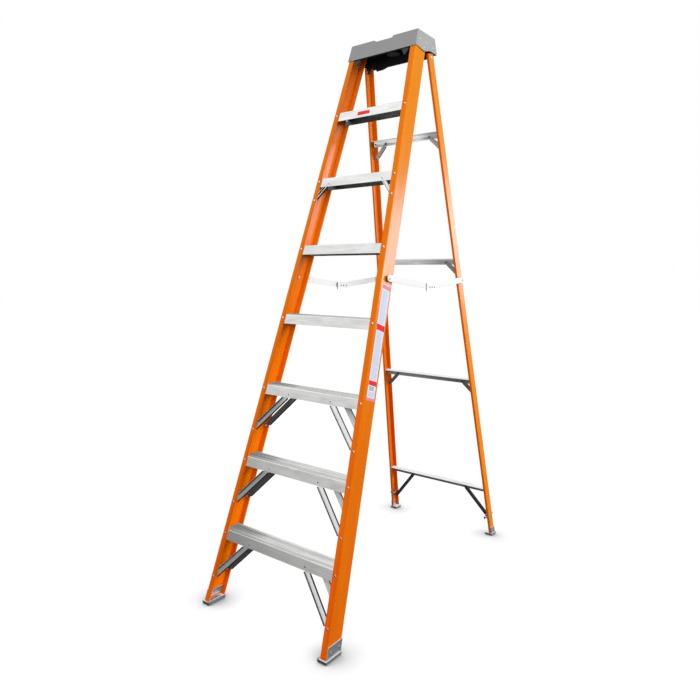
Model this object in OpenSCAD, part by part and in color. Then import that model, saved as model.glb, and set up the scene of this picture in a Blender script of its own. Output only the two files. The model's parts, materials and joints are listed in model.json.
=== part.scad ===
// Fibreglass step ladder: a front frame with seven treads, a rear frame hinged
// under the cap, and two folding spreaders that lock the legs apart.
// Units are mm, +Z is up. The origin is on the floor at the middle of the
// footprint. X runs across the ladder, and -Y is the climbing side.

/* [Overall] */
// Lean of the front rails from vertical, degrees
front_lean = 17.57; // [17:0.01:18]
// Lean of the rear rails from vertical, degrees
rear_lean = 13.3; // [13:0.01:13.6]
// Distance on the floor from the front rail faces to the rear rail faces
leg_spread = 1363.3; // [1360:0.1:1366]
// Half width over the front rails, measured at the floor
front_half = 319.1; // [315:0.1:325]
// Half width over the rear rails, measured at the floor
rear_half = 308.7; // [305:0.1:312]
// Height of the cap top above the floor
top_z = 2338; // [2334:1:2342]

/* [Rails] */
// Narrowing of the front frame per mm along the rail
front_taper = 0.0622; // [0.0615:0.0001:0.063]
// Narrowing of the rear frame per mm along the rail
rear_taper = 0.0607; // [0.06:0.0001:0.0615]
// Front rail channel depth
front_depth = 79; // [78:0.5:80]
// Front rail flange width
front_flange = 25; // [24:0.5:26]
// Front rail wall
front_wall = 4.5; // [4:0.1:4.6]
// Rear rail channel depth
rear_depth = 43.2; // [43:0.1:43.6]
// Rear rail wide flange
rear_flange = 22; // [21:0.5:23]
// Rear rail narrow front lip
rear_lip = 10.5; // [9:0.5:11]
// Rear rail wall
rear_wall = 3.2; // [3:0.1:3.4]

/* [Steps] */
// Distance between treads along the front rail
step_pitch = 304.8; // [304:0.1:305.5]
// Sheet thickness of a tread
tread_wall = 2.1; // [1.8:0.1:2.3]
// Front apron drop
apron_front = 40; // [38:0.5:42]
// Rear apron drop
apron_rear = 44; // [40:0.5:46]
// Number of broad grip ribs on a tread
rib_count = 6; // [5:1:8]

/* [Spreaders] */
// Spreader bar height
bar_w = 25.4; // [22:0.1:26]
// Spreader bar thickness
bar_t = 2.5; // [2:0.1:2.8]
// Distance of the front spreader pivots along the front rail
pivot_s = 1395; // [1380:1:1410]

/* [Hidden] */
$fn = 32;
eps = 0.1;
big = 3000;

cf = cos(front_lean);
sf = sin(front_lean);
tf = tan(front_lean);
cr = cos(rear_lean);
sr = sin(rear_lean);
tr = tan(rear_lean);
front_splay = atan(front_taper);
rear_splay = atan(rear_taper);

// footprint: the pads reach this far from the middle
front_pad_ahead = 1.5;
rear_pad_behind = 44.7 + 0.5;
foot_half = (leg_spread + front_pad_ahead + rear_pad_behind) / 2;
front_y = front_pad_ahead - foot_half;
rear_y = front_y + leg_spread;

// rivets
rivet_d = 5;
rivet_head = 9.5;
rivet_head_h = 2;
hole_d = rivet_d + 0.1;
rivet_in = 12.1;
step_rivet_drop = 14.7;
rear_rivet_rise = 3.4;

// treads
apron_gap = 0.1;
apron_in = front_wall + apron_gap;
apron_out = front_depth - front_wall - apron_gap;
tread_drop = 2.6;
nose_r = 4;
rib_h = 0.9;
rib_gap = 3.4;
rib_sink = 0.4;
steps = [1:7];

// step braces: drop of the low rivet, inset and drop of the high rivet, width
long_brace = [191, 155, 24, 24];
short_brace = [100, 70, 25, 15];
rear_brace = [165, 146, 7, 22];
brace_t = 1.6;
brace_gap = 0.1;
brace_neck = 13;
washer_d = 11.6;
brace_lip = 8;
rear_brace_in = 14;

// rear bars: height of the top edge along the rear rail
bar_tops = [257.5, 853.6, 1449, 2016];
bar_leg = 30;
bar_shelf = 26;
bar_wall = 1.6;
bar_brace_w = 17;
bar_brace_lip = 8;

// feet
front_pad_w = 40;
front_pad_y = 85;
front_pad_h = 8.4;
rear_pad_w = 39;
rear_pad_h = 7.4;
shoe_t = 3;
skirt_t = 2;
skirt_low = 3.2;
front_plate_top = 52;
rear_plate_top = 44.5;
band_h = 7;

// hinge of the rear frame, seen along X
hinge_s = 2314;
hinge_d = rear_depth / 2;
hinge_y = rear_y - hinge_s * sr + hinge_d * cr;
hinge_z = hinge_s * cr + hinge_d * sr;
hinge_pin_d = 9.4;
rear_rail_top = hinge_s + 20;

// cap
cap_wall = 3;
cap_skin = 3.5;
cap_off = 3.4;
cap_front_low = 2268;
cap_rear_low = 2275;
cap_dip_low = 2261.5;
cap_front_d = -3.2;
cap_rear_d = 62;
recess_z = top_z - 8.5;
liner_top = recess_z - cap_skin - 0.3;
liner_t = 3;
ear_top = cap_front_low / cf + 4;
bracket_x = 153.5;
bracket_t = 5;
bracket_r = 8;

// spreaders: pivots seen along X
front_piv_d = front_depth / 2;
fp_y = front_y + pivot_s * sf + front_piv_d * cf;
fp_z = pivot_s * cf - front_piv_d * sf;
rear_piv_s = 1350.2;
rp_y = rear_y - rear_piv_s * sr + hinge_d * cr;
rp_z = rear_piv_s * cr + hinge_d * sr;
mid_y = front_y + 779;
mid_z = 1288;
front_bar_x = 240.6;
rear_bar_x = 236.6;
pivot_d = 7;
plate_len = 86;
plate_t = 2;
front_bar_len = norm([mid_y - fp_y, mid_z - fp_z]);
rear_bar_len = norm([mid_y - rp_y, mid_z - rp_z]);
front_bar_angle = atan2(mid_z - fp_z, mid_y - fp_y);
rear_bar_angle = atan2(mid_z - rp_z, mid_y - rp_y);

orange = [0.9, 0.42, 0.05];
alu = [0.75, 0.76, 0.77];
steel = [0.55, 0.57, 0.6];
grey = [0.55, 0.56, 0.57];
black = [0.08, 0.08, 0.08];

function front_x(s) = front_half - front_taper * s;
function rear_x(s) = rear_half - rear_taper * s;
// y of a plane at depth d behind the front or rear rail faces, at height z
function fy(z, d) = front_y + z * tf + d / cf;
function ry(z, d) = rear_y - z * tr + d / cr;
function arc(c, r, a0, a1, n) =
  [for (i = [0:n]) c + r * [cos(a0 + (a1 - a0) * i / n), sin(a0 + (a1 - a0) * i / n)]];

// ---------- frames ----------
module right_of() {
  mirror([1, 0, 0]) children();
}

module pair() {
  children();
  right_of() children();
}

module front_plane() {
  translate([0, front_y, 0]) rotate([-front_lean, 0, 0]) children();
}

module rear_plane() {
  translate([0, rear_y, 0]) rotate([rear_lean, 0, 0]) children();
}

// left rail axes: x inward from the outer face, y into the depth, z along
module front_rail_axes() {
  front_plane() translate([-front_half, 0, 0]) rotate([0, front_splay, 0]) children();
}

module rear_rail_axes() {
  rear_plane() translate([-rear_half, 0, 0]) rotate([0, rear_splay, 0]) children();
}

// 2D shapes drawn as (x, z) and thickened along y from y0
module slab_y(y0, t) {
  translate([0, y0 + t, 0]) rotate([90, 0, 0]) linear_extrude(t) children();
}

// 2D shapes drawn as (y, z) and thickened along x from x0
module slab_x(x0, t) {
  translate([x0, 0, 0]) rotate([90, 0, 90]) linear_extrude(t) children();
}

module below(z) {
  translate([-big / 2, -big / 2, z - big]) cube(big);
}

module above(z) {
  translate([-big / 2, -big / 2, z]) cube(big);
}

// ---------- rivets ----------
module dome(d, h) {
  r = (d * d / 4 + h * h) / (2 * h);
  intersection() {
    translate([0, 0, h - r]) sphere(r);
    cylinder(d = d + 1, h = h);
  }
}

// head at z < 0, shank through the grip, tail beyond
module rivet(grip, d = rivet_d, head = rivet_head, head_h = rivet_head_h) {
  mirror([0, 0, 1]) dome(head, head_h);
  translate([0, 0, -eps]) cylinder(d = d, h = grip + 2 * eps);
  translate([0, 0, grip]) cylinder(d = d + 2.5, h = 1.4);
}

module bore(grip, d = hole_d) {
  translate([0, 0, -1]) cylinder(d = d, h = grip + 2);
}

function front_holes() = concat(
  [for (i = steps) [step_pitch * i - step_rivet_drop, apron_in + tread_wall]],
  [for (i = [1, 2, 3]) [step_pitch * i - long_brace[0], brace_depth() + brace_t]],
  [[step_pitch * 6 - short_brace[0], brace_depth() + brace_t]]);

function rear_holes() = concat(
  [for (i = steps) [step_pitch * i + rear_rivet_rise, front_wall + apron_gap + tread_wall, rivet_in]],
  [for (i = [1, 2, 3]) [step_pitch * i - rear_brace[0], rear_brace_grip(), rear_brace_in]]);

function brace_depth() = apron_in + tread_wall + brace_gap;
function rear_brace_grip() = front_wall + apron_gap + tread_wall + brace_gap + brace_t;

module at_front_holes() {
  for (h = front_holes())
    front_rail_axes() translate([rivet_in, 0, h[0] / cos(front_splay)])
      rotate([-90, 0, 0]) children();
}

// ---------- front rails ----------
module channel(depth, front_w, back_w, wall, r) {
  difference() {
    union() {
      translate([r, 0]) square([front_w - r, wall]);
      translate([0, r]) square([wall, depth - 2 * r]);
      translate([r, depth - wall]) square([back_w - r, wall]);
      translate([r, r]) circle(r);
      translate([r, depth - r]) circle(r);
    }
    translate([wall, wall]) square([r, depth - 2 * wall]);
  }
}

module front_rail() {
  difference() {
    front_rail_axes() translate([0, 0, -60]) linear_extrude(2600)
      channel(front_depth, front_flange, front_flange, front_wall, 4);
    below(front_pad_h + shoe_t + 0.2);
    above(recess_z - cap_skin - 0.2);
    for (h = front_holes())
      front_rail_axes() translate([rivet_in, 0, h[0] / cos(front_splay)])
        rotate([-90, 0, 0]) bore(front_wall);
    for (h = rear_holes())
      front_rail_axes() translate([h[2], front_depth, h[0] / cos(front_splay)])
        rotate([90, 0, 0]) bore(front_wall);
    at_front_pivot() bore(front_wall + 2, pivot_d + 0.1);
    at_front_shoe_rivets() bore(front_wall);
    at_cap_rivets() bore(cap_off + 2 + front_wall);
  }
}

// ---------- steps ----------
// profile in (depth, along) of the leaning front plane, tread level in space
module step_profile() {
  w = tread_wall;
  nose = [apron_in + nose_r, apron_in * tf - 0.3 - nose_r + nose_r * tf];
  polygon(concat(
    arc(nose, nose_r, 180, 90 + front_lean, 6),
    [[apron_out, apron_out * tf],
     [apron_out, apron_out * tf - apron_rear],
     [apron_out - w, apron_out * tf - apron_rear],
     [apron_out - w, (apron_out - w) * tf - tread_drop],
     [apron_in + w, (apron_in + w) * tf - tread_drop],
     [apron_in + w, apron_in * tf - apron_front],
     [apron_in, apron_in * tf - apron_front]]));
}

module tread_ribs(half) {
  pitch = (apron_out - apron_in - nose_r - 2) / rib_count;
  for (k = [0:rib_count - 1]) {
    start = apron_in + nose_r + pitch * k + rib_gap / 2;
    translate([0, start, start * tf]) rotate([front_lean, 0, 0])
      translate([-half, 0, -rib_sink]) cube([2 * half, (pitch - rib_gap) * cf, rib_h + rib_sink]);
  }
}

module step_body(i, brace = [], back = []) {
  top_s = step_pitch * i + apron_out * tf;
  half = front_x(top_s) - front_wall / cos(front_splay) - 0.4;
  color(alu) difference() {
    front_plane() translate([0, 0, step_pitch * i]) {
      slab_x(-half, 2 * half) step_profile();
      tread_ribs(half);
    }
    pair() front_rail_axes() {
      translate([rivet_in, 0, (step_pitch * i - step_rivet_drop) / cos(front_splay)])
        rotate([-90, 0, 0]) bore(brace_depth());
      translate([rivet_in, front_depth, (step_pitch * i + rear_rivet_rise) / cos(front_splay)])
        rotate([90, 0, 0]) bore(brace_depth());
    }
    if (len(brace) > 0)
      pair() at_brace_top(i, brace, apron_in) bore(tread_wall);
    if (len(back) > 0)
      pair() at_brace_top_rear(i, back) bore(tread_wall);
  }
}

// ---------- step braces ----------
function brace_low(i, b, inset) =
  [-front_x(step_pitch * i - b[0]) + inset, step_pitch * i - b[0]];
function brace_high(i, b) =
  [-front_x(step_pitch * i - b[2]) + b[1], step_pitch * i - b[2]];

module at_brace_top(i, b, y0) {
  p = brace_high(i, b);
  front_plane() translate([p[0], y0, p[1]]) rotate([-90, 0, 0]) children();
}

module at_brace_top_rear(i, b) {
  p = brace_high(i, b);
  front_plane() translate([p[0], apron_out, p[1]]) rotate([90, 0, 0]) children();
}

// a pressed channel between two points of the (x, z) plane: its lips point to
// -y (side < 0) or +y, and lie inside the 2D region given as the child
module strut(p, q, w, t, lip, y0, side) {
  d = q - p;
  a = atan2(d[1], d[0]);
  len = norm(d);
  slab_y(y0, t) translate(p) rotate(a) {
    circle(d = brace_neck);
    translate([0, -brace_neck / 2]) square([len, brace_neck]);
    translate([w / 2 + 2, -w / 2]) square([len - w - 4, w]);
    translate([len, 0]) circle(d = brace_neck);
  }
  slab_y(side > 0 ? y0 + t - eps : y0 - lip, lip + eps) intersection() {
    translate(p) rotate(a) {
      translate([w / 2 + 2, -w / 2]) square([len - w - 4, t]);
      translate([w / 2 + 2, w / 2 - t]) square([len - w - 4, t]);
    }
    children();
  }
}

// inboard of the front rail's flange and below a tread's apron
module room_under_step(i, drop) {
  low = step_pitch * (i - 1);
  high = step_pitch * i - drop;
  polygon([[front_flange + 1 - front_x(low), low], [0, low], [0, high],
           [front_flange + 1 - front_x(high), high]]);
}

// inboard of the rear rail's flange and below a rear bar
module room_under_bar(k) {
  low = bar_tops[k] - 250;
  high = bar_tops[k] - bar_leg - 1;
  polygon([[rear_flange + 1 - rear_x(low), low], [0, low], [0, high],
           [rear_flange + 1 - rear_x(high), high]]);
}

module front_brace(i, b) {
  p = brace_low(i, b, rivet_in);
  q = brace_high(i, b);
  difference() {
    front_plane() {
      strut(p, q, b[3], brace_t, brace_lip, brace_depth(), -1)
        room_under_step(i, apron_front);
      slab_y(front_wall + apron_gap, brace_depth() - front_wall - apron_gap + eps)
        translate(p) circle(d = washer_d);
    }
    front_rail_axes() translate([rivet_in, 0, p[1] / cos(front_splay)])
      rotate([-90, 0, 0]) bore(brace_depth() + brace_t);
    at_brace_top(i, b, apron_in) bore(tread_wall + brace_gap + brace_t);
  }
}

module back_brace(i, b) {
  p = brace_low(i, b, rear_brace_in);
  q = brace_high(i, b);
  y0 = front_depth - rear_brace_grip();
  difference() {
    front_plane() {
      strut(p, q, b[3], brace_t, brace_lip, y0, 1)
        room_under_step(i, apron_rear - apron_out * tf + 1);
      slab_y(y0 + brace_t - eps, front_depth - front_wall - apron_gap - y0 - brace_t + eps)
        translate(p) circle(d = washer_d);
    }
    front_rail_axes() translate([rear_brace_in, front_depth, p[1] / cos(front_splay)])
      rotate([90, 0, 0]) bore(rear_brace_grip());
    at_brace_top_rear(i, b) bore(tread_wall + brace_gap + brace_t);
  }
}

// ---------- front frame rivets ----------
module front_flange_rivets() {
  color(steel) pair() for (h = front_holes())
    front_rail_axes() translate([rivet_in, 0, h[0] / cos(front_splay)])
      rotate([-90, 0, 0]) rivet(h[1]);
}

module rear_flange_rivets() {
  color(steel) pair() for (h = rear_holes())
    front_rail_axes() translate([h[2], front_depth, h[0] / cos(front_splay)])
      rotate([90, 0, 0]) rivet(h[1]);
}

module apron_rivets() {
  grip = tread_wall + brace_gap + brace_t;
  color(steel) pair() {
    for (i = [1, 2, 3]) {
      at_brace_top(i, long_brace, apron_in) rivet(grip);
      at_brace_top_rear(i, rear_brace) rivet(grip);
    }
    at_brace_top(6, short_brace, apron_in) rivet(grip);
  }
}

// ---------- front feet ----------
module at_front_shoe_rivets() {
  for (d = [20, 64.5])
    front_rail_axes()
      translate([0, d, (30.5 + d * sf) / cf / cos(front_splay)])
        rotate([0, 90, 0]) children();
}

module front_shoe() {
  x0 = -front_half - 5.9;
  color(steel) difference() {
    union() {
      translate([x0, -foot_half, front_pad_h + 0.1])
        cube([front_pad_w, front_pad_y, shoe_t]);
      translate([x0 + front_pad_w - skirt_t, -foot_half, skirt_low])
        cube([skirt_t, front_pad_y, front_pad_h + shoe_t + 4 - skirt_low]);
      translate([x0, -foot_half, skirt_low])
        cube([skirt_t, front_pad_y, front_pad_h + 1 - skirt_low]);
      difference() {
        front_rail_axes() translate([-shoe_t - 0.1, 2.7, -20])
          cube([shoe_t, front_depth - 3.2, 140]);
        below(front_pad_h + shoe_t);
        above(front_plate_top);
      }
    }
    at_front_shoe_rivets() translate([0, 0, -shoe_t - 0.1]) bore(shoe_t);
  }
}

module ribbed_pad(x0, y0, w, d, h) {
  foot = 2.6;
  bars = floor(w / 6);
  translate([x0, y0, foot]) cube([w, d, h - foot]);
  for (k = [0:bars])
    translate([x0 + (w - 3) * k / bars, y0, 0]) cube([3, d, foot + eps]);
}

module front_pad() {
  inset = skirt_t + 0.1;
  color(black) ribbed_pad(-front_half - 5.9 + inset, -foot_half, front_pad_w - 2 * inset,
    front_pad_y, front_pad_h);
}

module backing_plate() {
  difference() {
    front_rail_axes() translate([front_wall + 0.1, 14, -20]) cube([2, 57, 140]);
    below(20);
    above(46);
    at_front_shoe_rivets() bore(front_wall + 2.1);
  }
}

module front_shoe_rivets() {
  color(steel) pair() at_front_shoe_rivets()
    translate([0, 0, -shoe_t - 0.1]) rivet(shoe_t + 0.2 + front_wall + 2);
}

// ---------- cap ----------
function cap_side(front_d, rear_d, low, high) = concat(
  [[fy(high, front_d), high], [fy(low, front_d), low]],
  [[ry(low, rear_d), low], [ry(high, rear_d), high]]);

// lower edge of the cap seen from the side: dips over the front rail
function dip(y) =
  y < fy(0, 0) + 778 ? cap_front_low - (cap_front_low - cap_dip_low) *
    (1 - cos(180 * max(0, y - front_y - 728) / 50)) / 2
  : cap_dip_low + (cap_rear_low - cap_dip_low) *
    (1 - cos(180 * min(1, (y - front_y - 778) / 60))) / 2;

module cap_outline(front_d, rear_d, high) {
  ys = [for (k = [0:22]) front_y + 728 + 5 * k];
  polygon(concat(
    [[fy(high, front_d), high], [fy(cap_front_low, front_d), cap_front_low]],
    [for (y = ys) [y, dip(y)]],
    [[ry(cap_rear_low, rear_d), cap_rear_low], [ry(high, rear_d), high]]));
}

module cap_taper(extra, low, high) {
  function half(z) = front_half - front_taper * z / cf + extra;
  translate([0, 1000, 0]) rotate([90, 0, 0]) linear_extrude(2000)
    polygon([[-half(low), low], [half(low), low], [half(high), high], [-half(high), high]]);
}

module recess(grow, floor_z, high) {
  translate([0, 1000, 0]) rotate([90, 0, 0]) linear_extrude(2000)
    polygon([[-42 - grow, floor_z], [42 + grow, floor_z],
             [50 + grow, high], [-50 - grow, high]]);
}

module cap_shell() {
  color(grey) difference() {
    intersection() {
      slab_x(-200, 400) cap_outline(cap_front_d, cap_rear_d, top_z);
      cap_taper(cap_off, 2200, 2400);
    }
    difference() {
      intersection() {
        slab_x(-200, 400)
          polygon(cap_side(cap_front_d + cap_wall, cap_rear_d - cap_wall, 2200, top_z - cap_skin));
        cap_taper(cap_off - cap_wall, 2200, 2400);
      }
      recess(cap_skin, recess_z - cap_skin, top_z + 1);
    }
    recess(0, recess_z, top_z + 1);
    pair() at_cap_rivets() bore(cap_wall + 2);
    pair() at_rear_cap_rivet() bore(cap_wall);
  }
}

// rivets through the cap ends and the rails: along and depth of each, its head
// just outside the cap, which stands off further at the back of the rail
module at_cap_rivets() {
  for (p = [[2419, 21], [2432.6, 69.4], [2403, 60]])
    front_rail_axes()
      translate([-cap_off - 0.15 - front_taper * p[1] * tf, p[1], p[0] / cos(front_splay)])
        rotate([0, 90, 0]) children();
}

// the rivet above the hinge, through the end wall only
module at_rear_cap_rivet() {
  z = hinge_z + 35;
  translate([-front_half + front_taper * z / cf - cap_off - 0.4, hinge_y, z])
    rotate([0, 90, 0]) children();
}

module cap_rivets() {
  color(steel) pair() {
    at_cap_rivets() rivet(cap_off + 1.8 + front_wall, head = 8);
    at_rear_cap_rivet() rivet(cap_wall + 0.8, head = 8);
  }
}

// a slim finger down to the hinge, with a blind hole for the pin
module hinge_bracket() {
  top = liner_top - liner_t + eps;
  difference() {
    slab_x(-bracket_x - bracket_t, bracket_t) union() {
      translate([hinge_y, hinge_z]) circle(bracket_r);
      polygon([[hinge_y - bracket_r + 0.6, hinge_z - 1], [hinge_y + bracket_r - 0.6, hinge_z - 1],
               [hinge_y + bracket_r + 1, top], [hinge_y - bracket_r - 3, top]]);
    }
    translate([-bracket_x - 1.2, hinge_y, hinge_z]) rotate([0, -90, 0])
      cylinder(d = hinge_pin_d + 0.1, h = bracket_t);
  }
}

module cap_liner() {
  color(black) {
    difference() {
      union() {
        // web under the skin, narrower between the front rails
        translate([-138, fy(liner_top, 1.4), liner_top - liner_t])
          cube([276, fy(liner_top, front_depth + 2) - fy(liner_top, 1.4), liner_t]);
        translate([-163, fy(liner_top, front_depth + 1), liner_top - liner_t])
          cube([326, ry(liner_top, 57.2) - fy(liner_top, front_depth + 1), liner_t]);
        // front skirt with a pointed ear beside each rail
        difference() {
          front_plane() translate([-139, 0.4, 2300]) cube([278, 2.4, 200]);
          below(cap_front_low - 3);
          above(liner_top);
        }
        pair() front_plane() slab_y(0.4, 2.4)
          polygon([[-139, ear_top], [-139, ear_top - 14], [-126, ear_top - 36],
                   [-121, ear_top - 36], [-100, ear_top]]);
        // rear skirt with an arched lower edge
        difference() {
          rear_plane() slab_y(cap_rear_d - cap_wall - 2.8, 2.4)
            skirt_back();
          above(liner_top);
        }
        pair() hinge_bracket();
        translate([0, front_y + 812, 2292]) cylinder(r = 28, h = liner_top - liner_t - 2292 + eps);
      }
    }
  }
}

// rear skirt drawn in the rear plane: x across, z along the rear rails;
// its lower edge arches up to a flat middle with two small tabs
module skirt_back() {
  function low(x) = (2267 + 6 * (1 + cos(180 * min(1, max(0, (abs(x) - 45) / 70)))) - 58 * sr) / cr;
  xs = [for (k = [0:28]) -140 + 10 * k];
  polygon(concat([for (x = xs) [x, low(x)]], [[140, 2400], [-140, 2400]]));
  for (x = [-22, 4])
    translate([x, low(0) - 5]) square([14, 8]);
}

module rear_hinge_pins() {
  out = rear_x(hinge_s) + 1;
  color(steel) pair() translate([0, hinge_y, hinge_z]) rotate([0, -90, 0]) {
    translate([0, 0, bracket_x + 1.3]) cylinder(d = hinge_pin_d, h = out - bracket_x - 1.3 + eps);
    translate([0, 0, out]) dome(14, 2.4);
  }
}

// ---------- labels ----------
module web_label() {
  color([0.9, 0.92, 0.96]) right_of() front_rail_axes()
    translate([-0.45, 15, 918 / cos(front_splay)]) cube([0.4, 52, 451]);
}

module step_badge() {
  color([0.75, 0.1, 0.1]) front_plane()
    translate([-62, apron_in - 0.45, step_pitch * 7 - 27]) cube([62, 0.4, 16]);
}

// ---------- rear frame ----------
module at_bar_rivets(k) {
  rear_rail_axes() translate([rivet_in, rear_depth, (bar_tops[k] - 15) / cos(rear_splay)])
    rotate([90, 0, 0]) children();
}

function bar_low(k) = let (drop = k == 0 ? 189 : 82, s = bar_tops[k] - drop)
  [-rear_x(s) + rivet_in + (k == 0 ? 1 : 0), s];
function bar_high(k) = let (s = bar_tops[k] - 20)
  [-rear_x(s) + (k == 0 ? 138 : 70), s];
function bar_grip() = rear_wall + 2 * brace_gap + bar_wall + brace_t;

module at_bar_brace_low(k) {
  p = bar_low(k);
  rear_plane() translate([p[0], rear_depth, p[1]]) rotate([90, 0, 0]) children();
}

module at_bar_brace_high(k) {
  p = bar_high(k);
  rear_plane() translate([p[0], rear_depth - rear_wall - brace_gap, p[1]])
    rotate([90, 0, 0]) children();
}

module rear_rail() {
  color(orange) difference() {
    rear_rail_axes() translate([0, 0, -60]) linear_extrude(rear_rail_top + 60)
      channel(rear_depth, rear_lip, rear_flange, rear_wall, 3);
    below(rear_pad_h + shoe_t + 0.2);
    for (k = [0:3]) {
      at_bar_rivets(k) bore(rear_wall);
      at_bar_brace_low(k) bore(rear_wall);
    }
    at_rear_pivot() bore(rear_wall + 2, pivot_d + 0.1);
    at_rear_shoe_rivets() bore(rear_wall);
    translate([-rear_x(hinge_s) - 5, hinge_y, hinge_z]) rotate([0, 90, 0])
      cylinder(d = hinge_pin_d + 0.1, h = 12);
  }
}

module rear_bar(k) {
  half = rear_x(bar_tops[k]) - rear_wall / cos(rear_splay) - 0.4;
  y1 = rear_depth - rear_wall - brace_gap;
  color(alu) difference() {
    rear_plane() translate([-half, 0, bar_tops[k]]) {
      translate([0, y1 - bar_wall, -bar_leg]) cube([2 * half, bar_wall, bar_leg]);
      translate([0, y1 - bar_shelf, -bar_wall]) cube([2 * half, bar_shelf, bar_wall]);
    }
    pair() at_bar_rivets(k) bore(bar_grip());
    pair() at_bar_brace_high(k) bore(bar_wall);
  }
}

module rear_bar_brace(k) {
  y0 = rear_depth - bar_grip();
  difference() {
    rear_plane() {
      strut(bar_low(k), bar_high(k), bar_brace_w, brace_t, bar_brace_lip, y0, 1)
        room_under_bar(k);
      slab_y(y0 + brace_t - eps, bar_wall + brace_gap + eps) translate(bar_low(k))
        circle(d = washer_d);
    }
    at_bar_brace_low(k) bore(bar_grip());
    at_bar_brace_high(k) bore(bar_wall + brace_gap + brace_t);
  }
}

module rear_frame_rivets() {
  color(steel) pair() for (k = [0:3]) {
    at_bar_rivets(k) rivet(rear_wall + brace_gap + bar_wall, head = 8);
    at_bar_brace_low(k) rivet(bar_grip(), head = 8);
    at_bar_brace_high(k) rivet(bar_wall + brace_gap + brace_t, head = 8);
  }
}

// ---------- rear feet ----------
module at_rear_shoe_rivets() {
  for (d = [13, 31])
    rear_rail_axes()
      translate([0, d, (26 - d * sr) / cr / cos(rear_splay)])
        rotate([0, 90, 0]) children();
}

module rear_shoe() {
  x0 = -rear_half - 6.3;
  y0 = rear_y - 2.3;
  color(steel) difference() {
    union() {
      translate([x0, y0, rear_pad_h + 0.1]) cube([rear_pad_w, foot_half - y0, shoe_t]);
      for (x = [x0, x0 + rear_pad_w - skirt_t])
        translate([x, y0, skirt_low]) cube([skirt_t, foot_half - y0, rear_pad_h + 1 - skirt_low]);
      difference() {
        rear_rail_axes() {
          translate([-shoe_t - 0.1, 3, -60]) cube([shoe_t, rear_depth - 4, 140]);
          translate([rear_wall + 0.1, 8, -60]) cube([2, 26, 140]);
        }
        below(rear_pad_h + shoe_t);
        above(rear_plate_top);
      }
    }
    at_rear_shoe_rivets() translate([0, 0, -shoe_t - 0.1]) bore(shoe_t + rear_wall + 2.2);
  }
}

module rear_pad() {
  y0 = rear_y - 2.3;
  inset = skirt_t + 0.1;
  color(black) ribbed_pad(-rear_half - 6.3 + inset, y0, rear_pad_w - 2 * inset, foot_half - y0,
    rear_pad_h);
}

module rear_shoe_rivets() {
  color(steel) pair() at_rear_shoe_rivets()
    translate([0, 0, -shoe_t - 0.1]) rivet(shoe_t + 0.2 + rear_wall + 2, head = 8);
}

module rail_band() {
  rear_rail_axes() translate([0, 0, 101]) rotate([9.5, 0, 0]) {
    difference() {
      translate([-1.6, -2, 0]) cube([rear_flange + 3.2, rear_depth + 5.6, band_h]);
      translate([-0.3, -0.7, -1]) cube([rear_flange + 0.6, rear_depth + 2.8, band_h + 2]);
    }
    translate([rear_flange - 5, -4.4, -1]) cube([9, 3, band_h + 2]);
    translate([rear_flange, -4, -9]) cube([4, 1.2, 9]);
  }
}

// ---------- spreaders ----------
module at_front_pivot() {
  translate([-front_x(pivot_s) - 1, fp_y, fp_z]) rotate([0, 90, 0]) children();
}

module at_rear_pivot() {
  translate([-rear_x(rear_piv_s) - 1, rp_y, rp_z]) rotate([0, 90, 0]) children();
}

module link(y, z, a, len, x0) {
  slab_x(x0, bar_t) translate([y, z]) rotate(a) difference() {
    union() {
      circle(d = bar_w);
      translate([0, -bar_w / 2]) square([len, bar_w]);
      translate([len, 0]) circle(d = bar_w);
    }
    circle(d = pivot_d + 0.1);
  }
}

// The hinge plate is riveted outside the front bar, or inside the rear bar.
module spreader_front_bar(inner) {
  color(alu) difference() {
    link(fp_y, fp_z, front_bar_angle, front_bar_len, -front_bar_x - bar_t);
    if (!inner)
      at_plate_rivets(inner) plate_bore();
  }
}

module spreader_rear_bar(inner) {
  color(alu) difference() {
    link(rp_y, rp_z, rear_bar_angle, rear_bar_len, -rear_bar_x - bar_t);
    if (inner)
      at_plate_rivets(inner) plate_bore();
  }
}

function plate_x(inner) = inner ? -rear_bar_x + 0.1 : -front_bar_x - bar_t - plate_t - 0.1;

// on the plate's free face, z into the bar
module at_plate_rivets(inner) {
  for (dy = [-15, 4, 25])
    translate([plate_x(inner) + (inner ? plate_t : 0), mid_y + dy, mid_z - 3])
      rotate([0, inner ? -90 : 90, 0]) children();
}

module plate_bore() {
  translate([0, 0, -1]) cylinder(d = 4.1, h = plate_t + bar_t + 2);
}

module hinge_plate(inner) {
  color(alu) difference() {
    slab_x(plate_x(inner), plate_t) translate([mid_y, mid_z]) {
      translate([-plate_len / 2, -bar_w / 2]) square([plate_len, bar_w]);
      translate([-plate_len / 2, -bar_w / 2 - 7]) square([7, 8]);
    }
    at_plate_rivets(inner) plate_bore();
  }
}

module hinge_rivets(inner) {
  color(steel) at_plate_rivets(inner) {
    mirror([0, 0, 1]) dome(7, 1.5);
    translate([0, 0, -eps]) cylinder(d = 4, h = plate_t + eps + 0.1 + bar_t);
  }
}

module front_spacer() {
  difference() {
    translate([-front_bar_x + 0.3, fp_y, fp_z]) rotate([0, 90, 0]) cylinder(d = 20, h = 12);
    front_rail_axes() translate([-0.1, -10, 1200]) cube([60, 120, 400]);
    at_front_pivot() translate([0, 0, -20]) cylinder(d = pivot_d + 0.1, h = 40);
  }
}

module rear_spacer() {
  difference() {
    translate([-rear_bar_x + 0.3, rp_y, rp_z]) rotate([0, 90, 0]) cylinder(d = 20, h = 16);
    rear_rail_axes() translate([-0.1, -10, 1200]) cube([60, 120, 400]);
    at_rear_pivot() translate([0, 0, -20]) cylinder(d = pivot_d + 0.1, h = 40);
  }
}

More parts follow.
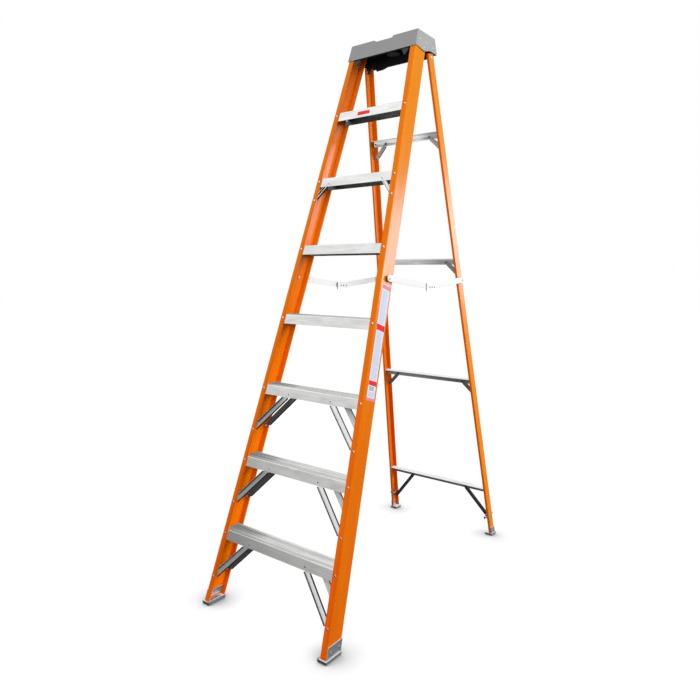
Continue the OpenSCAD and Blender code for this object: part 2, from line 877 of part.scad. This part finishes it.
// pivot rivet: head outside the bar, shank to the inside of the web
module pivot(x_out, x_in, y, z) {
  translate([-x_out, y, z]) rotate([0, 90, 0]) {
    mirror([0, 0, 1]) dome(13, 2);
    translate([0, 0, -eps]) cylinder(d = pivot_d, h = x_out - x_in + 2 * eps);
    translate([0, 0, x_out - x_in]) cylinder(d = 11, h = 1.6);
  }
}

module spreader_front_pivots() {
  color(steel) pair() pivot(front_bar_x + bar_t + 0.3,
    front_x(pivot_s) - front_wall - 0.8, fp_y, fp_z);
}

module spreader_rear_pivots() {
  color(steel) pair() pivot(rear_bar_x + bar_t + 0.3,
    rear_x(rear_piv_s) - rear_wall - 0.8, rp_y, rp_z);
}

color(orange) front_rail();  // front_rail_left
color(orange) right_of() front_rail();  // front_rail_right
step_body(1, long_brace, rear_brace);  // step_1
step_body(2, long_brace, rear_brace);  // step_2
step_body(3, long_brace, rear_brace);  // step_3
step_body(4);  // step_4
step_body(5);  // step_5
step_body(6, short_brace);  // step_6
step_body(7);  // step_7
color(alu) pair() front_brace(1, long_brace);  // step_1_front_braces
color(alu) pair() front_brace(2, long_brace);  // step_2_front_braces
color(alu) pair() front_brace(3, long_brace);  // step_3_front_braces
color(alu) pair() front_brace(6, short_brace);  // step_6_front_braces
color(alu) pair() back_brace(1, rear_brace);  // step_1_rear_braces
color(alu) pair() back_brace(2, rear_brace);  // step_2_rear_braces
color(alu) pair() back_brace(3, rear_brace);  // step_3_rear_braces
front_flange_rivets();
rear_flange_rivets();
apron_rivets();
front_shoe();  // front_shoe_left
right_of() front_shoe();  // front_shoe_right
front_pad();  // front_pad_left
right_of() front_pad();  // front_pad_right
color(steel) pair() backing_plate();  // front_backing_plates
front_shoe_rivets();
cap_shell();
cap_liner();
cap_rivets();
rear_hinge_pins();
color(black) pair() front_spacer();  // spreader_front_spacers
spreader_front_pivots();
web_label();
step_badge();
rear_rail();  // rear_rail_left
right_of() rear_rail();  // rear_rail_right
rear_bar(0);  // rear_bar_1
rear_bar(1);  // rear_bar_2
rear_bar(2);  // rear_bar_3
rear_bar(3);  // rear_bar_4
color(alu) pair() rear_bar_brace(0);  // rear_bar_1_braces
color(alu) pair() rear_bar_brace(1);  // rear_bar_2_braces
color(alu) pair() rear_bar_brace(2);  // rear_bar_3_braces
color(alu) pair() rear_bar_brace(3);  // rear_bar_4_braces
rear_frame_rivets();
rear_shoe();  // rear_shoe_left
right_of() rear_shoe();  // rear_shoe_right
rear_pad();  // rear_pad_left
right_of() rear_pad();  // rear_pad_right
rear_shoe_rivets();
color(steel) pair() rail_band();  // rail_bands
color(black) pair() rear_spacer();  // spreader_rear_spacers
spreader_rear_pivots();
spreader_front_bar(true);  // spreader_front_bar_left
right_of() spreader_front_bar(false);  // spreader_front_bar_right
spreader_rear_bar(true);  // spreader_rear_bar_left
right_of() spreader_rear_bar(false);  // spreader_rear_bar_right
hinge_plate(true);  // hinge_plate_left
right_of() hinge_plate(false);  // hinge_plate_right
hinge_rivets(true);  // hinge_rivets_left
right_of() hinge_rivets(false);  // hinge_rivets_right
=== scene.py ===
"""Looks, light and camera for the fibreglass step ladder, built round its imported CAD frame."""

import json
import math

import bpy
from mathutils import Matrix, Vector


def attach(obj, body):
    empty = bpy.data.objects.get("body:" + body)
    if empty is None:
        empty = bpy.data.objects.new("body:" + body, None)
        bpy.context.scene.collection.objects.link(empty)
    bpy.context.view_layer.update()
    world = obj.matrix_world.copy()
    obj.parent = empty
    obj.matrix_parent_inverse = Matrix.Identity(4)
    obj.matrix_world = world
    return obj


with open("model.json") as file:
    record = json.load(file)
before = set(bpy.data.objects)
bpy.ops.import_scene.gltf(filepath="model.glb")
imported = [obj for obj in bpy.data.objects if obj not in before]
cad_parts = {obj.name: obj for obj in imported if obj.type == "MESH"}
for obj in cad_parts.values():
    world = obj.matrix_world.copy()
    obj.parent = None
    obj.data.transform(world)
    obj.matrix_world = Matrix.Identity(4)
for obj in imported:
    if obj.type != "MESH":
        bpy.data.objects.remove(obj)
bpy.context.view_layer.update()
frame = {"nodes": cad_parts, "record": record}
nodes = frame["nodes"]

# ---- the ladder's own directions, as in the CAD source ----
FRONT_LEAN = math.radians(17.57)
REAR_LEAN = math.radians(13.3)
FRONT_SPLAY = math.atan(0.0622)
REAR_SPLAY = math.atan(0.0607)
FRONT_Y = -0.7035       # the front flanges' face meets the floor plane here
FRONT_HALF = 0.3191     # the web's outer face is this far from the middle there

BAR_TINT = (0.86, 0.86, 0.85)
BAR_ROUGH = (0.26, 0.38)
NEAR_BLACK = (0.03, 0.03, 0.03)


class Look:
    """One Principled material with the few procedural nodes that the ladder's surfaces need."""

    def __init__(self, name, **sockets):
        self.mat = bpy.data.materials.new(name)
        self.mat.use_nodes = True
        self.tree = self.mat.node_tree
        self.shader = self.tree.nodes["Principled BSDF"]
        for key, value in sockets.items():
            self.shader.inputs[key.replace("_", " ")].default_value = value
        self.place = self.add("ShaderNodeTexCoord").outputs["Object"]

    def add(self, kind, **settings):
        node = self.tree.nodes.new(kind)
        for key, value in settings.items():
            setattr(node, key, value)
        return node

    def feed(self, socket, value):
        if isinstance(value, bpy.types.NodeSocket):
            self.tree.links.new(value, socket)
        else:
            socket.default_value = value

    def stretched(self, size, turn=None):
        """The object's coordinates in a turned frame, with size metres to one unit of texture."""
        node = self.add("ShaderNodeMapping", vector_type="TEXTURE")
        self.feed(node.inputs["Vector"], self.place)
        if turn is not None:
            node.inputs["Rotation"].default_value = turn.to_euler("XYZ")
        node.inputs["Scale"].default_value = size
        return node.outputs["Vector"]

    def noise(self, vector, detail=2.0, roughness=0.5, distortion=0.0):
        node = self.add("ShaderNodeTexNoise")
        self.feed(node.inputs["Vector"], vector)
        node.inputs["Scale"].default_value = 1.0
        node.inputs["Detail"].default_value = detail
        node.inputs["Roughness"].default_value = roughness
        node.inputs["Distortion"].default_value = distortion
        return node.outputs["Fac"]

    def cells(self, vector):
        node = self.add("ShaderNodeTexVoronoi", feature="F1")
        self.feed(node.inputs["Vector"], vector)
        node.inputs["Scale"].default_value = 1.0
        return node.outputs["Color"]

    def ramp(self, fac, low, high, a, b):
        """fac from low to high becomes a to b: numbers or colours."""
        if isinstance(a, (int, float)):
            node = self.add("ShaderNodeMapRange")
            self.feed(node.inputs["Value"], fac)
            for key, value in (("From Min", low), ("From Max", high), ("To Min", a), ("To Max", b)):
                node.inputs[key].default_value = value
            return node.outputs["Result"]
        return self.mix(self.ramp(fac, low, high, 0.0, 1.0), a, b)

    def mix(self, fac, a, b, blend="MIX"):
        node = self.add("ShaderNodeMix", data_type="RGBA", blend_type=blend)
        self.feed(node.inputs["Factor"], fac)
        self.feed(node.inputs[6], a if isinstance(a, bpy.types.NodeSocket) else (*a, 1.0))
        self.feed(node.inputs[7], b if isinstance(b, bpy.types.NodeSocket) else (*b, 1.0))
        return node.outputs[2]

    def sum(self, a, b, weight=1.0):
        node = self.add("ShaderNodeMath", operation="MULTIPLY_ADD")
        self.feed(node.inputs[0], b)
        node.inputs[1].default_value = weight
        self.feed(node.inputs[2], a)
        return node.outputs[0]

    def axis(self, vector, index):
        node = self.add("ShaderNodeSeparateXYZ")
        self.feed(node.inputs[0], vector)
        return node.outputs[index]

    def normal(self, index, unsigned=False):
        """One component of the surface direction in the object's own axes."""
        part = self.axis(self.add("ShaderNodeTexCoord").outputs["Normal"], index)
        if not unsigned:
            return part
        node = self.add("ShaderNodeMath", operation="ABSOLUTE")
        self.feed(node.inputs[0], part)
        return node.outputs[0]

    def colour(self, value):
        self.feed(self.shader.inputs["Base Color"], value)

    def rough(self, value):
        self.feed(self.shader.inputs["Roughness"], value)

    def bump(self, height, depth):
        node = self.add("ShaderNodeBump")
        node.inputs["Strength"].default_value = 1.0
        node.inputs["Distance"].default_value = depth
        self.feed(node.inputs["Height"], height)
        self.feed(self.shader.inputs["Normal"], node.outputs["Normal"])


def rail_turn(lean, splay):
    return Matrix.Rotation(lean, 3, "X") @ Matrix.Rotation(splay, 3, "Y")


def fibreglass(name, lean, splay, sheen, low_web,
               high_web=(0.55, 0.175, 0.001), high_flange=(0.76, 0.175, 0.002)):
    """Pultruded resin: lengthwise glass streaks, and painted light and shade: webs and flanges that each change
    colour with height, the sideways-facing webs given other colours than the flanges.
    """
    turn = rail_turn(lean, splay)
    look = Look(name, Specular_IOR_Level=sheen)
    streaks = look.noise(look.stretched((0.0016, 0.0016, 0.16), turn), 4.0, 0.6)
    cloud = look.noise(look.stretched((0.05, 0.05, 0.3), turn), 3.0, 0.55)
    veil = look.noise(look.stretched((0.0011, 0.0011, 0.004), turn), 3.0, 0.7)
    height = look.axis(look.place, 2)
    # painted light and shade: webs and flanges get lighter or darker with height, and the webs, which face
    # sideways, get other colours than the flanges
    web = look.ramp(height, 0.1, 2.2, low_web, high_web)
    flange = look.ramp(height, 0.1, 1.6, (0.69, 0.09, 0.001), high_flange)
    body = look.mix(look.ramp(look.normal(0, True), 0.5, 0.9, 0.0, 1.0), flange, web)
    body = look.mix(look.ramp(streaks, 0.45, 0.75, 0.0, 0.16), body, (0.66, 0.08, 0.001))
    body = look.mix(look.ramp(cloud, 0.45, 0.75, 0.0, 0.16), body, (0.88, 0.25, 0.006))
    look.colour(body)
    look.rough(look.ramp(look.sum(cloud, streaks, 0.6), 0.5, 1.1, 0.20, 0.32))
    look.bump(look.sum(streaks, veil, 0.5), 0.00004)
    return look.mat


def aluminium(name, tint, rough, grooved=False, metallic=1.0, shade_span=None):
    """Mill finish: fine die lines along the extrusion, with faint cloudy handling marks.

    grooved is for the steps. The shade span, when given, is the span in x over which an upright face turns darker,
    as painted shade.
    """
    look = Look(name, Metallic=metallic, Specular_IOR_Level=0.2)
    lines = look.noise(look.stretched((0.3, 0.0016, 0.0016)), 3.0, 0.6)
    marks = look.noise(look.stretched((0.09, 0.02, 0.02)), 2.0, 0.5, 0.4)
    x, z = look.axis(look.place, 0), look.axis(look.place, 2)
    up = look.normal(2)
    face = look.mix(look.ramp(look.sum(lines, marks, 1.2), 0.8, 1.5, 0.0, 1.0), tint, tuple(c * 0.8 for c in tint))
    if grooved:
        # the tops darker in uneven bands along the ribs, and painted shade darker towards the left end, as in the
        # photo
        bands = look.noise(look.stretched((0.6, 0.011, 0.4)), 2.0, 0.5)
        top_bands_and_shade = look.mix(look.ramp(bands, 0.40, 0.62, 0.0, 0.65), face, (0.50, 0.50, 0.49))
        top_bands_and_shade = look.mix(look.ramp(look.sum(x, bands, -0.3), -0.44, -0.26, 0.9, 0.0), top_bands_and_shade, (0.24, 0.24, 0.24))
        smears = look.noise(look.stretched((0.09, 0.05, 0.022)), 2.0, 0.45, 0.8)
        apron = look.mix(look.ramp(smears, 0.46, 0.70, 0.0, 0.18), face, (0.45, 0.45, 0.45))
        # painted shade: the apron darker towards the left end and lower down
        apron = look.mix(look.ramp(look.sum(x, z, 0.5), -0.12, 0.14, 0.45, 0.0), apron, (0.38, 0.38, 0.38))
        face = look.mix(look.ramp(up, 0.7, 0.95, 0.0, 1.0), apron, top_bands_and_shade)
        # painted shade: the inside of a step, behind its apron, is darker towards the left end, as in the photo
        behind = look.sum(look.axis(look.place, 1), z, -math.tan(FRONT_LEAN))
        inside = look.mix(look.ramp(x, -0.15, -0.09, 0.93, 0.0), face, (0.04, 0.04, 0.04))
        inside = look.mix(look.ramp(behind, FRONT_Y + 0.02, FRONT_Y + 0.03, 0.0, 1.0), face, inside)
        face = look.mix(look.ramp(look.normal(1), -0.5, -0.8, 0.0, 1.0), face, inside)
        # painted shade: the ends of a step, which face sideways, darker
        face = look.mix(look.ramp(look.normal(0, True), 0.7, 0.9, 0.0, 0.85), face, (0.10, 0.10, 0.10))
    if shade_span is not None:
        # painted shade: upright faces darker across the given span in x
        leg = look.mix(look.ramp(x, *shade_span, 0.0, 1.0), face, (0.42, 0.42, 0.42))
        face = look.mix(look.ramp(look.normal(1, True), 0.5, 0.8, 0.0, 1.0), face, leg)
    # painted shade: downward faces darker
    look.colour(look.mix(look.ramp(up, -0.5, -0.85, 0.0, 0.75), face, (0.40, 0.40, 0.40)))
    look.rough(look.ramp(look.sum(marks, lines, 0.5), 0.55, 0.95, *rough))
    look.bump(lines, 0.000006)
    return look.mat


def brace(name, far, near, edge, rough, by_height=False):
    """Pressed strip: as painted shade its flat face goes from far to near in brightness, and its lip is painted
    dark.

    The change is across the ladder and upwards, or upwards only with by_height.
    """
    look = Look(name, Metallic=0.4, Specular_IOR_Level=0.2)
    grain = look.noise(look.stretched((0.006, 0.006, 0.006)), 3.0, 0.6)
    x, z = look.axis(look.place, 0), look.axis(look.place, 2)
    # painted shade: the flat face darker towards the left and lower down, or lower down only; the lip darker still
    if by_height:
        side = look.ramp(z, 0.4, 1.9, (far,) * 3, (near,) * 3)
    else:
        side = look.ramp(look.sum(x, z, 0.4), 0.16, 0.28, (far,) * 3, (near,) * 3)
    tone = look.mix(look.ramp(look.normal(1, True), 0.5, 0.8, 0.0, 1.0), (edge,) * 3, side)
    look.colour(look.mix(look.ramp(grain, 0.4, 0.7, 0.0, 0.1), tone, (0.3, 0.31, 0.32)))
    look.rough(look.ramp(grain, 0.35, 0.7, *rough))
    look.bump(grain, 0.00001)
    return look.mat


def plated_steel(name, tint, rough=(0.28, 0.42), metallic=1.0, deep=0.82, shade=0.0, dark_end=None, low=0.0):
    """Zinc plate in small crystals.

    shade paints shade on the left and lower sides of domes, dark_end a near-black shadow on all that lies
    before that y in metres, and low painted shade on whatever is near the floor.
    """
    look = Look(name, Metallic=metallic, Specular_IOR_Level=0.2)
    spangle = look.cells(look.stretched((0.0045, 0.0045, 0.0045)))
    haze = look.noise(look.stretched((0.012, 0.012, 0.012)), 4.0, 0.6)
    tone = look.mix(0.5, spangle, (0.5, 0.5, 0.5))
    grey = look.axis(tone, 0)
    face = look.ramp(grey, 0.2, 0.8, tuple(c * deep for c in tint), tint)
    if low:
        # painted shade: greyer towards the floor, as in the photo
        face = look.mix(look.ramp(look.axis(look.place, 2), 0.3, 1.05, low, 0.0), face, (0.14, 0.14, 0.15))
    if shade:
        # painted shade on the left and lower sides of domes
        away = look.sum(look.normal(0), look.normal(2), 0.7)
        face = look.mix(look.ramp(away, -0.06, 0.16, shade, 0.0), face, NEAR_BLACK)
    if dark_end is not None:
        # painted shadow: near-black on all that lies before dark_end in y
        at_end = look.ramp(look.axis(look.place, 1), dark_end, dark_end + 0.0005, 1.0, 0.0)
        face = look.mix(at_end, face, NEAR_BLACK)
    look.colour(face)
    look.rough(look.ramp(haze, 0.35, 0.7, *rough))
    look.bump(look.sum(haze, grey, 0.2), 0.00008)
    return look.mat


def moulded(name, tint, rough, grain, depth, fleck=0.12, inside=None):
    """Moulded plastic or rubber: a fine even grain and slightly uneven sheen."""
    look = Look(name, Specular_IOR_Level=0.45)
    fine = look.noise(look.stretched((grain,) * 3), 3.0, 0.6)
    flow = look.noise(look.stretched((0.06, 0.04, 0.04)), 3.0, 0.5, 0.6)
    light = tuple(min(1.0, c * (1 + fleck)) for c in tint)
    dark = tuple(c * (1 - fleck) for c in tint)
    face = look.ramp(look.sum(flow, fine, 0.5), 0.5, 1.0, dark, light)
    if inside is not None:
        # painted shade: walls seen from within go dark; their direction is towards the middle, or forward on the
        # rear wall
        inward = look.add("ShaderNodeMath", operation="MULTIPLY")
        look.feed(inward.inputs[0], look.axis(look.place, 0))
        look.feed(inward.inputs[1], look.normal(0))
        rear = look.ramp(look.axis(look.place, 1), 0.10, 0.12, 0.0, 1.0)
        rear = look.mix(rear, face, look.mix(look.ramp(look.normal(1), -0.5, -0.7, 0.0, 1.0), face, inside))
        face = look.mix(look.ramp(inward.outputs[0], -0.06, -0.03, 1.0, 0.0), rear, inside)
    look.colour(face)
    look.rough(look.ramp(flow, 0.3, 0.7, rough - 0.06, rough + 0.06))
    look.bump(fine, depth)
    return look.mat


def printed(name, tint, rough=0.38):
    """Printed film with a trace of scuffing."""
    look = Look(name, Specular_IOR_Level=0.1)
    scuff = look.noise(look.stretched((0.004, 0.004, 0.02)), 4.0, 0.7)
    look.colour(look.ramp(scuff, 0.45, 0.8, tint, tuple(c * 0.9 + 0.05 for c in tint)))
    look.rough(look.ramp(scuff, 0.3, 0.7, rough - 0.08, rough + 0.1))
    look.bump(scuff, 0.00002)
    return look.mat


def satin_steel(name, tint, dark_end=None):
    """The spreaders' satin plate, less of a mirror than the rest."""
    return plated_steel(name, tint, (0.45, 0.55), 0.3, 0.96, dark_end=dark_end)


# painted light and shade: the web and flange colours given for each rail are lit and shaded copies of one resin,
# the left rails' webs paler low down and redder at the top, and the rear right rail's flange darker at the top
looks = {
    "front_rail_left": fibreglass("fibreglass_front_left", -FRONT_LEAN, FRONT_SPLAY, 0.04,
                                  low_web=(0.98, 0.20, 0.001), high_web=(0.62, 0.125, 0.001)),
    "front_rail_right": fibreglass("fibreglass_front_right", -FRONT_LEAN, -FRONT_SPLAY, 0.04,
                                   low_web=(0.62, 0.115, 0.001)),
    "rear_rail_left": fibreglass("fibreglass_rear_left", REAR_LEAN, REAR_SPLAY, 0.04,
                                 low_web=(0.92, 0.145, 0.001), high_web=(0.66, 0.13, 0.001)),
    "rear_rail_right": fibreglass("fibreglass_rear_right", REAR_LEAN, -REAR_SPLAY, 0.07,
                                  low_web=(0.72, 0.195, 0.001), high_flange=(0.72, 0.12, 0.001)),
    "tread_aluminium": aluminium("tread_aluminium", (0.93, 0.93, 0.92), (0.24, 0.34), grooved=True),
    "brace_aluminium": brace("brace_aluminium", 0.40, 0.97, 0.03, (0.26, 0.36)),
    "rear_bar_1": aluminium("bar_1", BAR_TINT, BAR_ROUGH),
    "rear_bar_2": aluminium("bar_2", BAR_TINT, BAR_ROUGH, metallic=0.72, shade_span=(-0.05, 0.15)),
    "rear_bar_3": aluminium("bar_3", BAR_TINT, BAR_ROUGH, shade_span=(-0.05, 0.12)),
    "rear_bar_4": aluminium("bar_4", (0.90, 0.90, 0.89), BAR_ROUGH, shade_span=(0.06, 0.12)),
    "rivet_steel": plated_steel("rivet_steel", (0.90, 0.91, 0.92), metallic=0.75, shade=0.95, low=0.62),
    "shoe_steel": plated_steel("shoe_steel", (0.88, 0.89, 0.90)),
    "band_steel": plated_steel("band_steel", (0.60, 0.62, 0.64)),
    "spreader_metal": satin_steel("spreader_metal", (0.86, 0.86, 0.85)),
    "foot_rubber": moulded("foot_rubber", (0.022, 0.022, 0.023), 0.78, 0.0009, 0.00012),
    "cap_grey": moulded("cap_grey", (0.27, 0.275, 0.27), 0.52, 0.0011, 0.00009, 0.06, (0.02, 0.02, 0.02)),
    "black_plastic": moulded("black_plastic", (0.012, 0.012, 0.013), 0.42, 0.0014, 0.00008),
    "label_panel": printed("label_panel", (0.56, 0.61, 0.72)),
    "badge_red": printed("badge_red", (0.84, 0.03, 0.02)),
}

# painted shade: the braces under the first three steps and the knee braces of the rear bars are much darker at the
# left and lower down
dull_shaded_brace = brace("dull_shaded_brace", 0.08, 0.90, 0.02, (0.36, 0.5))
for step in (1, 2, 3):
    looks["step_%d_rear_braces" % step] = dull_shaded_brace
knee_brace = brace("knee_brace", 0.05, 0.60, 0.03, (0.36, 0.5), by_height=True)
for bar in (1, 2, 3, 4):
    looks["rear_bar_%d_braces" % bar] = knee_brace

# painted light: the left spreader gets less of the side light, so its plate and the left hinge plate are painted
# paler to match the photo;
# the hinge plates are painted near-black at their ends as a shadow, and their rivets are near-black
PLATE_END = 0.0343
left_metal = satin_steel("left_spreader_metal", (0.97, 0.97, 0.96))
looks["spreader_front_bar_left"] = looks["spreader_rear_bar_left"] = left_metal
looks["hinge_plate_left"] = satin_steel("left_hinge_metal", (0.97, 0.97, 0.96), PLATE_END)
looks["hinge_plate_right"] = satin_steel("right_hinge_metal", (0.88, 0.88, 0.87), PLATE_END)
looks["hinge_rivets_left"] = looks["hinge_rivets_right"] = plated_steel("black_rivet", (0.06, 0.06, 0.06))

slot_of = {row["node"]: row["material_slot"] for row in frame["record"]["subparts"]}

# width of the rounding on hard edges by material slot, in metres
BEVELS = {"orange_fibreglass": 0.0008, "brace_aluminium": 0.0005, "bar_aluminium": 0.0004,
          "shoe_steel": 0.0006, "cap_grey": 0.0012, "spreader_metal": 0.0005, "foot_rubber": 0.0005}

for name, piece in nodes.items():
    piece.data.materials.clear()
    piece.data.materials.append(looks.get(name) or looks[slot_of[name]])
    if slot_of[name] == "orange_fibreglass":
        piece.visible_glossy = False
    width = BEVELS.get(slot_of[name])
    if width:
        weld = piece.modifiers.new("weld", "WELD")
        weld.merge_threshold = 0.00002
        flat = piece.modifiers.new("flat", "DECIMATE")
        flat.decimate_type = "DISSOLVE"
        flat.angle_limit = math.radians(0.4)
        bevel = piece.modifiers.new("bevel", "BEVEL")
        bevel.width = width
        bevel.segments = 2
        bevel.limit_method = "ANGLE"
        bevel.angle_limit = math.radians(35)
        bevel.harden_normals = True

# ---- printed panels: plain bands and rows in place of any wording ----
front_plane = Matrix.Translation((0, FRONT_Y, 0)) @ Matrix.Rotation(-FRONT_LEAN, 4, "X")
web_plane = front_plane @ Matrix.Translation((FRONT_HALF, 0, 0)) @ Matrix.Rotation(-FRONT_SPLAY, 4, "Y")


BOX_FACES = ((0, 1, 3, 2), (4, 6, 7, 5), (0, 4, 5, 1), (2, 3, 7, 6), (0, 2, 6, 4), (1, 5, 7, 3))


def print_patches(name, patches, look):
    """Thin patches in one piece: each is a plane's matrix and the lowest and highest corner in it."""
    points, faces = [], []
    for plane, lows, highs in patches:
        first = len(points)
        for x in (lows[0], highs[0]):
            for y in (lows[1], highs[1]):
                for z in (lows[2], highs[2]):
                    points.append(plane @ Vector((x, y, z)))
        faces += [[first + k for k in face] for face in BOX_FACES]
    mesh = bpy.data.meshes.new(name)
    mesh.from_pydata(points, [], faces)
    mesh.update()
    mesh.materials.append(look)
    piece = bpy.data.objects.new(name, mesh)
    bpy.context.scene.collection.objects.link(piece)
    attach(piece, "front_frame")


def on_web(depth_low, along_low, depth_high, along_high):
    """A patch on the web label: depth and along in millimetres."""
    return (web_plane, (0.00046, depth_low / 1000, along_low / 1000),
            (0.00056, depth_high / 1000, along_high / 1000))


def rows(along_low, along_high, pitch, depth_low, depth_high, thick):
    """Rows of print across the web label, of uneven length."""
    made = []
    for k in range(int((along_high - along_low) / pitch)):
        along = along_low + pitch * (k + 0.3)
        span = depth_high - depth_low
        for start, share in ((depth_low, 0.55), (depth_low + 0.6 * span, 0.25 + 0.05 * (k % 4))):
            made.append(on_web(start, along, start + share * span, along + thick))
    return made


def bands(*spans):
    """Bands right across the web label, each from one place along the rail to another."""
    return [on_web(15.5, low, 66.5, high) for low, high in spans]


print_patches("web_label_bands", bands((1189, 1212), (977, 995)),
              printed("print_red", (0.62, 0.02, 0.02)))
# the upper band, at 1352 to 1368 mm, is pink as red print under a painted sheen
print_patches("web_label_strip", bands((1352, 1368), (919, 930)),
              printed("print_pink", (0.60, 0.22, 0.26)))
print_patches("web_label_rows",
              rows(1216, 1348, 6, 21, 60, 2.2) + rows(999, 1185, 6, 21, 60, 2.2) + rows(934, 955, 5, 21, 60, 2.0),
              printed("print_grey", (0.34, 0.37, 0.46)))
print_patches("web_label_block",
              [on_web(24 + 8 * j, 958 + 4 * k, 29 + 8 * j + 2 * (k % 2), 960.4 + 4 * k)
               for j in range(4) for k in range(4)],
              printed("print_dark", (0.09, 0.10, 0.12)))

# ---- floor, light and camera ----
floor_mesh = bpy.data.meshes.new("floor")
FLOOR_REACH = 30.0
floor_mesh.from_pydata([(x * FLOOR_REACH, y * FLOOR_REACH, 0) for x, y in ((-1, -1), (1, -1), (1, 1), (-1, 1))],
                       [], [(0, 1, 2, 3)])
floor = bpy.data.objects.new("floor", floor_mesh)
bpy.context.scene.collection.objects.link(floor)
floor_look = Look("floor_white", Roughness=0.9, Specular_IOR_Level=0.0)
paper = floor_look.noise(floor_look.stretched((0.8, 0.8, 0.8)))
floor_look.colour(floor_look.ramp(paper, 0.3, 0.7, (0.008, 0.008, 0.008), (0.01, 0.01, 0.01)))
# painted shadow: the floor's white glow is dimmed by ambient occlusion near the feet, a painted contact shadow
contact = floor_look.add("ShaderNodeAmbientOcclusion", samples=16)
contact.inputs["Distance"].default_value = 0.13
floor_look.shader.inputs["Emission Color"].default_value = (1.0, 1.0, 1.0, 1.0)
floor_look.feed(floor_look.shader.inputs["Emission Strength"],
                floor_look.ramp(contact.outputs["AO"], 0.50, 0.985, 0.28, 1.02))
floor_mesh.materials.append(floor_look.mat)
floor.location = (0, 0, -0.0005)
floor.visible_glossy = False
floor.visible_diffuse = False

world = bpy.data.worlds.new("studio")
bpy.context.scene.world = world
world.use_nodes = True
tree = world.node_tree
tree.nodes.clear()
coord = tree.nodes.new("ShaderNodeTexCoord")
split = tree.nodes.new("ShaderNodeSeparateXYZ")
tree.links.new(coord.outputs["Generated"], split.inputs[0])
ramp = tree.nodes.new("ShaderNodeValToRGB")
rise = tree.nodes.new("ShaderNodeMapRange")
rise.inputs["From Min"].default_value = -1.0
tree.links.new(split.outputs["Z"], rise.inputs["Value"])
tree.links.new(rise.outputs["Result"], ramp.inputs["Fac"])
# brightness of the studio by height of the direction, from straight down to straight up
stops = [(-1.0, 0.05), (-0.6, 0.12), (-0.42, 0.18), (-0.29, 0.33), (-0.13, 0.40), (-0.03, 0.43),
         (0.08, 0.56), (0.2, 0.73), (0.35, 0.85), (0.50, 0.86), (0.66, 1.05), (1.0, 1.12)]
while len(ramp.color_ramp.elements) < len(stops):
    ramp.color_ramp.elements.new(0.5)
for element, (at, tone) in zip(ramp.color_ramp.elements, stops):
    element.position = (at + 1) / 2
    element.color = (tone, tone, tone, 1.0)
seen = tree.nodes.new("ShaderNodeBackground")
lit = tree.nodes.new("ShaderNodeBackground")
seen.inputs["Color"].default_value = (1.0, 1.0, 1.0, 1.0)
tree.links.new(ramp.outputs["Color"], lit.inputs["Color"])
slant = tree.nodes.new("ShaderNodeMath")
slant.operation = "MULTIPLY_ADD"
tree.links.new(split.outputs["Z"], slant.inputs[0])
slant.inputs[1].default_value = 0.6
tree.links.new(split.outputs["X"], slant.inputs[2])
shade = tree.nodes.new("ShaderNodeMapRange")
for key, value in (("From Min", -0.70), ("From Max", -0.50), ("To Min", 0.55), ("To Max", 1.05)):
    shade.inputs[key].default_value = value
tree.links.new(slant.outputs[0], shade.inputs["Value"])
tree.links.new(shade.outputs["Result"], lit.inputs["Strength"])
path = tree.nodes.new("ShaderNodeLightPath")
choose = tree.nodes.new("ShaderNodeMixShader")
out = tree.nodes.new("ShaderNodeOutputWorld")
tree.links.new(path.outputs["Is Camera Ray"], choose.inputs["Fac"])
tree.links.new(lit.outputs[0], choose.inputs[1])
tree.links.new(seen.outputs[0], choose.inputs[2])
tree.links.new(choose.outputs[0], out.inputs["Surface"])


def area_light(name, place, target, size, power, diffuse=True, glossy=True):
    lamp = bpy.data.lights.new(name, "AREA")
    lamp.energy, lamp.size = power, size
    lamp_object = bpy.data.objects.new(name, lamp)
    lamp_object.location = place
    lamp_object.rotation_euler = (Vector(target) - Vector(place)).to_track_quat("-Z", "Y").to_euler()
    lamp_object.visible_diffuse, lamp_object.visible_glossy = diffuse, glossy
    bpy.context.scene.collection.objects.link(lamp_object)
    return lamp_object


area_light("side", (3.2, 1.4, 2.6), (0, 0, 1.3), 1.6, 110, glossy=False)
area_light("fill", (2.0, -3.8, 2.2), (0, 0, 1.0), 2.4, 72, glossy=False)
haze = area_light("haze", (2.6, 3.0, 1.95), (0, 0, 1.3), 1.0, 230, diffuse=False)
rear_haze = area_light("rear_haze", (2.6, 3.0, 1.95), (0, 0, 1.3), 0.8, 190, diffuse=False)
haze.data.color = rear_haze.data.color = (0.45, 0.88, 1.0)

card = area_light("card", (-1.3, -2.3, 0.9), (0, 0.3, 1.7), 1.8, 9)

# three lights reach only the nodes named here: the strips that leave a pale sheen on the rails,
# and the low card that the two upper bars of the rear frame mirror
for lamp, lit_nodes in ((haze, [name for name in nodes if slot_of[name] == "orange_fibreglass"]),
                        (rear_haze, ["rear_rail_right"]),
                        (card, ["rear_bar_3", "rear_bar_4"])):
    lit_group = bpy.data.collections.new("lit_by_" + lamp.name)
    for name in lit_nodes:
        lit_group.objects.link(nodes[name])
    lamp.light_linking.receiver_collection = lit_group

view = bpy.context.scene.view_settings
view.view_transform = "Standard"
view.look = "None"

# camera: standing place, heading and tilt in radians, lens on a 36 mm square frame
CAMERA_AT = (1.53905, -2.19001, 1.30178)
HEADING, TILT, ROLL, LENS = 0.65134, -0.11249, 0.01513, 30.981
ahead = Vector((-math.sin(HEADING) * math.cos(TILT), math.cos(HEADING) * math.cos(TILT), math.sin(TILT)))
level = Vector((math.cos(HEADING), math.sin(HEADING), 0.0))
up = level.cross(ahead)
right = math.cos(ROLL) * level + math.sin(ROLL) * up
top = math.cos(ROLL) * up - math.sin(ROLL) * level
camera_data = bpy.data.cameras.new("camera")
camera_data.lens, camera_data.sensor_width = LENS, 36.0
camera = bpy.data.objects.new("camera", camera_data)
camera.matrix_world = Matrix.Translation(CAMERA_AT) @ Matrix((right, top, -ahead)).transposed().to_4x4()
bpy.context.scene.collection.objects.link(camera)
bpy.context.scene.camera = camera
